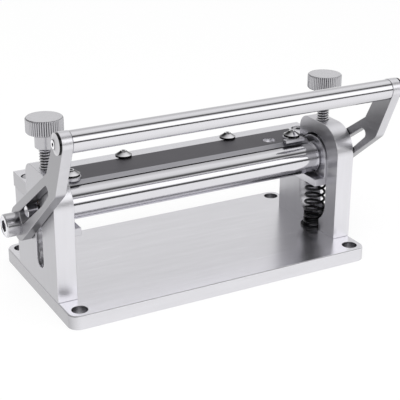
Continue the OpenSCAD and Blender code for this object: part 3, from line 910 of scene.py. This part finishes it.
@dataclass(frozen=True)
class BladeFinish:
    """Dark blued steel with a bright ground bevel along the cutting edge, and painted light on its
    upright faces.
    """

    name: str = "blued_blade"
    dark: Colour = (0.090, 0.086, 0.098)
    ground: Colour = (0.42, 0.42, 0.44)
    painted_bore_light: Colour = (0.92, 0.92, 0.93)
    bevel_back: float = -8.5

    def material(self) -> Material:
        """Builds the material.

        Returns:
            The finished material.
        """
        steel = MetalFinish(self.name, self.dark, 0.34, Grain.ALONG_X, fine=0.5, streak=0.16, mottle=0.1)
        material = steel.material()
        graph, tint = tint_of(material)
        _, y, _ = graph.parts(graph.where("Object"))
        _, _, up = graph.parts(graph.where("Normal"))
        ground = (y * -1.0 + self.bevel_back * MM).math("GREATER_THAN", 0.0)
        # Painted light: upright faces, the holes' walls among them, are painted near white.
        upright = (up * up).math("LESS_THAN", 0.1)
        graph.feed(tint, graph.mixed(upright, graph.mixed(ground, self.dark, self.ground), self.painted_bore_light))
        return material


@dataclass(frozen=True)
class PaintedGrooveShade:
    """A metal finish for round walls on upright axes, with painted shade in their grooves.

    Attributes:
        finish: The finish of the crests.
        dark: The painted shade of the grooves.
        crest: Radius of the crests.
        depth: Depth at which a groove turns dark.
        axis: Distance of each axis from the middle, and its place from front to back.
        fold: True for four axes, two in front and two behind.
        reach: How far below the crests the painted shade goes, in depths.
    """

    finish: MetalFinish
    dark: Colour
    crest: float
    depth: float
    axis: Pair
    fold: bool = False
    reach: float = 4.0

    def material(self) -> Material:
        """Builds the material.

        Returns:
            The finished material.
        """
        material = self.finish.material()
        graph, tint = tint_of(material)
        across, along, _ = graph.parts(graph.where("Object"))
        _, _, up = graph.parts(graph.where("Normal"))
        along = along.math("ABSOLUTE") if self.fold else along
        across, along = across.math("ABSOLUTE") - self.axis[0] * MM, along - self.axis[1] * MM
        radius = (across * across + along * along) ** 0.5
        # Painted shade: upright faces that lie deeper than the depth below the crests turn dark.
        deep = (radius * -1.0 + (self.crest - self.depth) * MM).math("GREATER_THAN", 0.0)
        rim = (radius - (self.crest - self.reach * self.depth) * MM).math("GREATER_THAN", 0.0)
        groove = deep * rim * (up * up).math("LESS_THAN", 0.5)
        graph.feed(tint, graph.mixed(groove, self.finish.colour, self.dark))
        return material


class Finishes:
    """The machine's finishes, each built once."""

    def __init__(self) -> None:
        """Builds the materials."""
        polished = {"fine": 0.7, "streak": 0.02, "rough_streak": 0.02, "bump": 0.004, "mottle": 0.01}
        plain = {"streak": 0.02, "rough_streak": 0.02, "bump": 0.0, "mottle": 0.02}
        # Painted shade: the cone screws' upright rims and sides that look along x, and the sides of the
        # end screws and bolts, are darkened.
        cone = plain | {"wall": 0.40, "cheek": 0.0, "sharp": 3.4}
        end = plain | {"painted_flank_shade": 0.05, "sharp": 3.0}
        bolt = plain | {"painted_flank_shade": 0.7, "streak": 0.03}
        satin = {"fine": 0.4, "long": 40.0}
        # Painted shade on the base's upright faces, on its faces that look along x and in its
        # counterbores.
        base = MetalFinish(
            "brushed_base", (0.94, 0.94, 0.96), 0.25, Grain.ALONG_X, fine=0.45, long=70.0,
            wall=0.80, cheek=0.60,
        )
        base_with_hole_shade = PaintedGrooveShade(base, (0.66, 0.66, 0.67), 8.3, 1.0, (138.0, 70.0), fold=True)
        self.base = base_with_hole_shade.material()
        # Painted shade on faces that look along x, and on the arm's and the bar's undersides.
        self.side = metal("satin_upright", ALUMINIUM, 0.33, Grain.ALONG_Z, cheek=0.65, **satin)
        self.arm = metal("satin_arm", ALUMINIUM, 0.33, Grain.ALONG_Y, cheek=0.45, under=0.05, **satin)
        self.beam = metal("satin_beam", (0.92, 0.92, 0.94), 0.30, Grain.ALONG_X, fine=0.4, cheek=0.5)
        self.block = metal("satin_block", (0.66, 0.66, 0.68), 0.30, Grain.ALONG_Z, fine=0.4)
        self.plate = metal("satin_plate", (0.55, 0.55, 0.57), 0.28, Grain.ALONG_X, fine=0.3)
        self.blade = BladeFinish().material()
        self.roller = metal("polished_roller", (0.74, 0.74, 0.755), 0.09, Grain.ROUND_X, **polished)
        self.bar = metal("polished_bar", (0.76, 0.76, 0.775), 0.09, Grain.ROUND_X, under=0.5, **polished)
        self.bright = metal("bright_screw", (0.95, 0.95, 0.96), 0.07, Grain.ROUND_X, **cone)
        self.end_screw = metal("bright_end_screw", (0.90, 0.90, 0.91), 0.10, Grain.ROUND_X, **end)
        self.bolt = metal("bright_bolt", (0.82, 0.82, 0.835), 0.16, Grain.ROUND_X, **bolt)
        self.steel = metal("machined_steel", (0.50, 0.50, 0.515), 0.27, Grain.ROUND_Z, fine=0.3)
        self.bronze = metal("turned_bronze", (0.56, 0.36, 0.16), 0.3, Grain.ROUND_X)
        self.black = BlackOxide("black_oxide").material()

    def knob(self, side: int, axis: Pair, crest: float) -> Material:
        """Builds the finish of one knob, turned round its own axis, with painted shade in its knurl
        grooves.

        Args:
            side: -1 for the left knob and 1 for the right one.
            axis: Distance of the knob's axis from the middle, and its place from front to back.
            crest: Radius of the knurl's crests.

        Returns:
            The material.
        """
        name = "turned_knob_left" if side < 0 else "turned_knob_right"
        centre = (side * axis[0], axis[1], 0.0)
        colour = (0.78, 0.78, 0.795)
        # Painted shade on the knob's upright faces, and in its knurl grooves below.
        finish = MetalFinish(name, colour, 0.24, Grain.ROUND_Z, centre, fine=0.45, wall=0.66)
        return PaintedGrooveShade(finish, (0.36, 0.36, 0.37), crest, 0.62, axis).material()

    def thread(self, axis: Pair, crest: float) -> Material:
        """Returns the finish of both adjusting screws, with painted shade between the thread's crests.
        """
        finish = MetalFinish("rolled_thread", (0.62, 0.62, 0.63), 0.12, Grain.ALONG_Z, mottle=0.06)
        # Painted shade: near black between the crests.
        return PaintedGrooveShade(finish, (0.03, 0.03, 0.032), crest, 0.5, axis).material()


# Sub-assemblies


class Assembly:
    """A part of the machine that makes and dresses its own pieces."""

    def build(self, shop: Workshop, look: Finishes) -> None:
        """Makes the pieces.

        Args:
            shop: Knows the frame, and puts each piece in its place.
            look: The finishes.
        """
        raise NotImplementedError


@dataclass
class Bed(Assembly):
    """The base plate, the uprights that stand on it and their screws from below."""

    edge: float = 0.3
    upright_edge: float = 0.5

    def build(self, shop: Workshop, look: Finishes) -> None:
        """Makes the plate and both uprights."""
        shop.soft("base", "base_plate", self.edge, look.base)
        for side in SIDES:
            shop.soft(side + "_side_plate", side + "_upright", self.upright_edge, look.side, 3)
        shop.dress("upright_screws", look.black)


@dataclass
class Screw:
    """A screw on the Z axis, with its head on zero and a hexagonal socket in it."""

    height: float
    shank: float
    length: float
    socket: float
    depth: float
    chamfer: float
    sides: int
    smooth: float

    def mesh(self) -> Mesh:
        """Makes the screw.

        Returns:
            The mesh, in metres.
        """
        pin, end, chamfer = self.shank / 2, -self.length, self.chamfer
        shank = [(0, end), (pin - chamfer, end), (pin, chamfer + end), (pin, 0)]
        body = socketed(shank + self.head_profile(), self.sides, self.socket, self.depth)
        return smooth_by_angle(body, self.smooth)

    def head_profile(self) -> list[Pair]:
        """Returns the head's outline, from its underside to its top."""
        raise NotImplementedError


@dataclass
class ConeScrew(Screw):
    """A bright screw with a conical head."""

    height: float = 5.3
    shank: float = 6.0
    length: float = 12.0
    socket: float = 3.0
    depth: float = 3.5
    chamfer: float = 0.4
    sides: int = 64
    smooth: float = 40.0
    base: float = 15.4
    tip: float = 5.6
    rim: float = 1.7
    hollow: float = 1.25
    lip: float = 0.1
    shoulder: float = 0.25
    crown: float = 0.15
    steps: int = 8

    def head_profile(self) -> list[Pair]:
        """Returns the head's outline: an upright rim, a hollow cone and a flat top."""
        half, top, lip, rise = self.base / 2, self.tip / 2, self.lip, self.height - self.rim
        profile = [(half - lip, 0), (half, lip), (half, self.rim)]
        for step in range(1, self.steps + 1):
            share = step / self.steps
            left = (1 - share) ** self.hollow
            reach = (half - self.shoulder) * left + top * (1 - left)
            profile.append((reach, self.rim + lip + (rise - self.shoulder) * share))
        return profile + [(top - self.crown, self.height), (0, self.height)]


@dataclass
class CapScrew(Screw):
    """A socket head cap screw."""

    height: float = 8.0
    shank: float = 8.0
    length: float = 20.9
    socket: float = 6.0
    depth: float = 4.0
    chamfer: float = 0.6
    sides: int = 72
    smooth: float = 30.0
    head: float = 13.0
    bevel: float = 0.5

    def head_profile(self) -> list[Pair]:
        """Returns the head's outline, with a bevel round its top."""
        half, top, bevel = self.head / 2, self.height, self.bevel
        return [(half, 0), (half, top - bevel), (half - bevel, top), (0, top)]


@dataclass
class CuttingHead(Assembly):
    """The beam across the back, the blade under its screws and the end plates."""

    edge: float = 0.35
    blade_edge: float = 0.12
    plate_edge: float = 0.2
    beam_screw: Point = (141.0, 27.5, 91.7)
    blade_screws: tuple[Point, ...] = ((-50.0, 28.0, 103.2), (59.5, 28.0, 103.2))
    plate_screws: tuple[Point, ...] = ((-114.0, -3.2, 106.2), (112.2, -3.2, 106.2))
    cone: ConeScrew = field(default_factory=ConeScrew)
    short_cone: ConeScrew = field(default_factory=lambda: ConeScrew(length=6.0))
    cap: CapScrew = field(default_factory=CapScrew)

    def screws(self, recipe: Recipe, mesh: Mesh, points: tuple[Point, ...], seed: int) -> Mesh:
        """Copies a screw to its places.

        Args:
            recipe: The screw set's tree.
            mesh: One screw.
            points: Where the heads stand.
            seed: Sets how each socket is turned.

        Returns:
            All the screws in one mesh.
        """
        places = bpy.data.meshes.new("places")
        places.from_pydata([[value * MM for value in point] for point in points], [], [])
        screw = new_piece("screw", mesh)
        result = recipe.made({"Screw": screw, "Seed": seed}, places)
        bpy.data.objects.remove(screw)
        return smooth_by_angle(result, 38.0)

    def build(self, shop: Workshop, look: Finishes) -> None:
        """Makes the beam, the blade, the end plates and their screws."""
        shop.soft("beam", "blade_beam", self.edge, look.beam)
        shop.soft("cutting_blade", "blade", self.blade_edge, look.blade)
        shop.soft("clamp_plates", "end_plates", self.plate_edge, look.plate)
        recipe = ScrewSetRecipe()
        cones = self.screws(recipe, self.cone.mesh(), self.blade_screws, seed=4)
        shop.fit("blade_clamp_screws", cones, look.bright, "blade_screws")
        cones = self.screws(recipe, self.short_cone.mesh(), self.plate_screws, seed=9)
        shop.fit("plate_clamp_screws", cones, look.bright, "end_plate_screws")
        x, y, z = self.beam_screw
        caps = self.screws(recipe, self.cap.mesh(), ((-x, y, z), (x, y, z)), seed=2)
        shop.fit("beam_cap_screws", caps, look.steel, "beam_screws")


@dataclass
class RollerUnit(Assembly):
    """The roller and its journals, the sprung blocks and what lies between them."""

    y: float = -13.5
    z: float = 85.2
    body: float = 129.0
    radius: float = 14.5
    ring: Pair = (126.7, 127.5)
    ring_deep: float = 0.8
    neck: Pair = (8.0, 146.65)
    journal: Pair = (5.0, 160.1)
    bevel: float = 0.5
    lip: float = 0.15
    block_edge: float = 0.4
    sides: int = 160

    def profile(self) -> list[Pair]:
        """Draws the roller's outline.

        Returns:
            Place along X and radius of each point, from left to right.
        """
        r, lip, floor = self.radius, self.lip, self.radius - self.ring_deep
        (low, high), (neck_r, neck_x), (end_r, end_x) = self.ring, self.neck, self.journal
        half = [
            (0.0, r), (low - lip, r), (low, r - lip), (low, floor), (high, floor), (high, r - lip),
            (high + lip, r), (self.body - self.bevel, r), (self.body, r - self.bevel),
            (self.body, neck_r), (neck_x, neck_r), (neck_x, end_r), (end_x - self.bevel, end_r),
            (end_x, end_r - self.bevel), (end_x, 0.0),
        ]
        return mirrored(half)

    def build(self, shop: Workshop, look: Finishes) -> None:
        """Makes the roller and both blocks."""
        mesh = RevolveRecipe().swept(self.profile(), self.sides)
        mesh = smooth_by_angle(moved(mesh, 0.0, self.y, self.z))
        shop.fit("ground_roller", mesh, look.roller, "roller")
        for side in SIDES:
            shop.soft(side + "_bearing_block", side + "_block", self.block_edge, look.block)
        shop.dress("bushings", look.bronze)
        shop.dress("thrust_washers", look.steel)


@dataclass
class Springs(Assembly):
    """The two black springs that lift the roller, and the washers under them."""

    x: float = 135.5
    y: float = -13.5
    radius: float = 9.2
    wire: float = 2.4
    turns: float = 7.25
    closed: float = 0.75
    closed_pitch: float = 3.0
    travel: float = 6.2

    def build(self, shop: Workshop, look: Finishes) -> None:
        """Winds both springs to the height of their CAD nodes."""
        recipe = CoilRecipe()
        for name, side in SIDES.items():
            low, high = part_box(name + "_spring")
            rise = (high.z - low.z) / MM - self.wire - 2 * self.closed * self.closed_pitch
            values = {
                "Radius": self.radius * MM, "Wire": self.wire * MM, "Turns": self.turns,
                "Closed turns": self.closed, "Closed pitch": self.closed_pitch * MM,
                "Open pitch": rise / (self.turns - 2 * self.closed) * MM,
                "Bottom": low.z + self.wire / 2 * MM,
            }
            coil = smooth_by_angle(moved(recipe.made(values), side * self.x, self.y, 0.0), 50.0)
            spring = shop.fit(name + "_coil_spring", coil, look.black, name + "_spring")
            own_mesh(spring)
        shop.dress("spring_seats", look.black)


@dataclass
class Adjusters(Assembly):
    """The two adjusting screws with their knurled knobs, and the swivelling tips."""

    x: float = 140.0
    y: float = -13.5
    thread_low: float = 108.7
    thread_high: float = 139.7
    thread_r: float = 6.0
    thread_depth: float = 1.1
    pitch: float = 2.5
    hub_r: float = 9.0
    knob_low: float = 153.0
    knob_height: float = 13.2
    knob_r: float = 16.0
    knurl: float = 0.9
    teeth: int = 50
    bevel: float = 0.9
    hub_bevel: float = 0.6
    overlap: float = 0.5
    rings_a_turn: int = 10
    sides_a_tooth: int = 6
    hub_sides: int = 72

    def build(self, shop: Workshop, look: Finishes) -> None:
        """Makes both screws and both knobs."""
        thread, knurl = ThreadRecipe(), KnurlRecipe()
        length = self.thread_high - self.thread_low
        steel = look.thread((self.x, self.y), self.thread_r)
        for name, side in SIDES.items():
            x = side * self.x
            sizes = {
                "Radius": self.thread_r * MM, "Depth": self.thread_depth * MM, "Pitch": self.pitch * MM,
                "Length": length * MM, "Rings": round(length / self.pitch * self.rings_a_turn),
            }
            screw = moved(thread.made(sizes), x, self.y, self.thread_low + length / 2)
            screw = smooth_by_angle(screw, 50.0)
            shop.fit(name + "_threaded_screw", screw, steel, name + "_adjuster_screw")
            sizes = {
                "Radius": self.knob_r * MM, "Depth": self.knurl * MM, "Height": self.knob_height * MM,
                "Bevel": self.bevel * MM, "Teeth": float(self.teeth),
                "Sides": self.teeth * self.sides_a_tooth,
            }
            rim = moved(knurl.made(sizes), 0.0, 0.0, self.knob_low + self.knob_height / 2)
            low, high = self.thread_high, self.knob_low + self.overlap
            hub = turned([
                (0, low), (self.hub_r - self.hub_bevel, low), (self.hub_r, low + self.hub_bevel),
                (self.hub_r, high), (0, high),
            ], self.hub_sides)
            knob = smooth_by_angle(moved(joined([rim, hub]), x, self.y, 0.0), 40.0)
            finish = look.knob(side, (self.x, self.y), self.knob_r)
            shop.fit(name + "_knob", knob, finish, name + "_adjuster_knob")
            shop.dress(name + "_screw_tip", look.steel)


@dataclass
class LeverFrame(Assembly):
    """The two arms, the handle bar between them, its screws and the pivot bolts."""

    bar: Pair = (-93.5, 170.5)
    bar_r: float = 9.0
    bar_half: float = 150.6
    bar_bevel: float = 0.5
    bar_sides: int = 128
    arm_outer: float = 159.6
    pivot: Pair = (13.0, 64.0)
    head_low: float = 160.2
    head_r: float = 10.5
    head_height: float = 12.0
    shoulder_r: float = 6.0
    pin_r: float = 4.0
    chamfer: float = 0.5
    upright_outer: float = 150.0
    thread: float = 14.0
    socket: float = 10.0
    socket_depth: float = 5.75
    edge: float = 0.45
    cone: ConeScrew = field(
        default_factory=lambda: ConeScrew(
            base=17.8, tip=7.6, height=4.2, shank=8.0, length=29.0, rim=2.0, hollow=1.1
        )
    )

    def pivot_bolt(self) -> Mesh:
        """Makes one pivot bolt on the Z axis, for the right end of the machine.

        Returns:
            The mesh, in metres.
        """
        low = self.upright_outer - self.thread
        top = self.head_low + self.head_height
        r, pin = self.head_r, self.pin_r
        profile = [
            (0, low), (pin - self.chamfer, low), (pin, low + self.chamfer), (pin, self.upright_outer),
            (self.shoulder_r, self.upright_outer), (self.shoulder_r, self.head_low),
            (r - 0.4, self.head_low), (r, self.head_low + 0.4), (r, top - 1.2), (r - 0.25, top - 1.0),
            (r - 0.25, top - 0.7), (r - 0.9, top), (r - 2.2, top), (r - 2.4, top - 0.25),
            (0, top - 0.25),
        ]
        return socketed(profile, 96, self.socket, self.socket_depth)

    def build(self, shop: Workshop, look: Finishes) -> None:
        """Makes the arms, the bar and the fasteners."""
        for side in SIDES:
            shop.soft(side + "_lever_arm", side + "_arm", self.edge, look.arm, 3)
        y, z = self.bar
        r, end, bevel = self.bar_r, self.bar_half, self.bar_bevel
        half = [(0.0, r), (end - bevel, r), (end, r - bevel), (end, 0.0)]
        bar = moved(RevolveRecipe().swept(mirrored(half), self.bar_sides), 0.0, y, z)
        shop.fit("grip_bar", smooth_by_angle(bar), look.bar, "handle_bar")
        heads = [moved(self.cone.mesh(), self.arm_outer, y, z, side) for side in SIDES.values()]
        shop.fit("bar_end_screws", smooth_by_angle(joined(heads), 38.0), look.end_screw, "handle_screws")
        y, z = self.pivot
        bolts = [moved(self.pivot_bolt(), 0.0, y, z, side) for side in SIDES.values()]
        shop.fit("lever_pivots", smooth_by_angle(joined(bolts), 30.0), look.bolt, "pivot_bolts")
        shop.dress("pivot_washers", look.steel)


@dataclass
class Studio:
    """The camera, a pale floor and soft light."""

    azimuth: float = -28.80
    elevation: float = 22.33
    roll: float = 0.33
    place: Point = (-438.85, -824.75, 443.83)
    focal: float = 1088.2
    image: float = 400.0
    floor_radius: float = 12000.0
    paper: float = 0.9
    glow: float = 1.06
    glow_share: float = 0.8
    lamp_place: Point = (-700.0, -900.0, 1600.0)
    lamp_size: Pair = (1400.0, 1000.0)
    lamp_watts: float = 14.0
    peak: float = 1.5
    sweep: tuple[Pair, ...] = (
        (-30, 0.90), (-7, 0.85), (-3, 0.20), (0, 0.08), (9, 0.08), (12, 0.25), (15, 0.9), (18, 1.35),
        (46, 1.4), (54, 0.8), (62, 0.10), (69, 0.07), (76, 0.45), (84, 0.85), (110, 0.95),
        (128, 0.75), (145, 0.62), (165, 0.72), (180, 0.80),
    )

    def camera(self) -> None:
        """Sets up the camera where the photograph was taken from."""
        data = bpy.data.cameras.new("camera")
        data.sensor_width = 36.0
        data.lens = 36.0 * self.focal / self.image
        data.clip_start, data.clip_end = 0.01, 20.0
        camera = bpy.data.objects.new("camera", data)
        bpy.context.scene.collection.objects.link(camera)
        azimuth, elevation, roll = (math.radians(v) for v in (self.azimuth, self.elevation, self.roll))
        place = Matrix.Translation([value * MM for value in self.place])
        level = Matrix.Rotation(azimuth, 4, "Z") @ Matrix.Rotation(math.pi / 2 - elevation, 4, "X")
        camera.matrix_world = place @ level @ Matrix.Rotation(roll, 4, "Z")
        bpy.context.scene.camera = camera

    def floor(self) -> None:
        """Lays a pale floor, white to the camera and in reflections, which keeps a soft shadow."""
        mesh = turned([(0, 0), (self.floor_radius, 0)], 128)
        mesh.flip_normals()
        floor = new_piece("floor", mesh)
        material, graph, shader = new_material("floor")
        material.node_tree.nodes.remove(shader)
        seen = graph.rays("Is Camera Ray", "Is Glossy Ray", "Is Transmission Ray")
        paper = graph.out("ShaderNodeBsdfDiffuse", {"Color": (*(self.paper,) * 3, 1)})
        white = graph.out("ShaderNodeEmission", {"Color": (1, 1, 1, 1), "Strength": self.glow})
        both = graph.out("ShaderNodeMixShader", {0: seen * self.glow_share, 1: paper, 2: white})
        graph.feed(material.node_tree.nodes["Material Output"].inputs["Surface"], both)
        mesh.materials.append(material)

    def surroundings(self) -> None:
        """Gives the world its soft boxes: bright and dark bands that run along the machine.

        The camera sees white instead, and metal sees white low down behind the machine.
        """
        world = bpy.data.worlds.new("studio")
        bpy.context.scene.world = world
        world.use_nodes = True
        graph = Graph(world.node_tree)
        x, y, z = graph.parts(graph.where("Generated"))
        angle = z.math("ARCTAN2", y * -1.0)
        low, high = self.sweep[0][0], self.sweep[-1][0]
        span = high - low
        share = (angle / math.radians(1) - low) / span
        stops = [((degree - low) / span, (level / self.peak,) * 3) for degree, level in self.sweep]
        ramp = graph.add("ShaderNodeValToRGB", inputs={0: share}, stops=stops)
        level = graph.number(graph.out("ShaderNodeRGBToBW", {0: ramp.outputs[0]})) * self.peak
        # The left is darker, and the white behind fades out above the floor.
        left = (x * -2.0 - 0.6).held(0.0, 1.0)
        level = level * (1.0 - left * 0.7)
        behind = (y * 4.0).held(0.0, 1.0) * (z * -12.0 + 1.6).held(0.0, 1.0)
        seen = graph.rays("Is Camera Ray", "Is Transmission Ray")
        seen = seen.at_least(graph.rays("Is Glossy Ray") * behind)
        strength = level * (1.0 - seen) + seen
        background = world.node_tree.nodes["Background"]
        background.inputs["Color"].default_value = (1, 1, 1, 1)
        graph.feed(background.inputs["Strength"], strength)

    def lamps(self) -> None:
        """Hangs one large soft lamp over the machine's front left."""
        data = bpy.data.lights.new("soft_box", "AREA")
        data.shape, data.energy = "RECTANGLE", self.lamp_watts
        data.size, data.size_y = (value * MM for value in self.lamp_size)
        lamp = bpy.data.objects.new("soft_box", data)
        lamp.location = [value * MM for value in self.lamp_place]
        lamp.rotation_mode = "QUATERNION"
        lamp.rotation_quaternion = (-Vector(lamp.location)).to_track_quat("-Z", "Y")
        lamp.visible_glossy = False
        bpy.context.scene.collection.objects.link(lamp)

    def build(self) -> None:
        """Sets the whole studio up."""
        self.camera()
        self.floor()
        self.surroundings()
        self.lamps()
        bpy.context.scene.view_settings.view_transform = "Standard"


def main() -> None:
    """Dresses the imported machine, piece by piece."""
    logging.basicConfig(level=logging.INFO, format="%(message)s")
    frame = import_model()
    shop, look = Workshop(frame), Finishes()
    for part in (Bed(), CuttingHead(), RollerUnit(), Springs(), Adjusters(), LeverFrame()):
        part.build(shop, look)
    Studio().build()


if __name__ == "__main__":
    main()
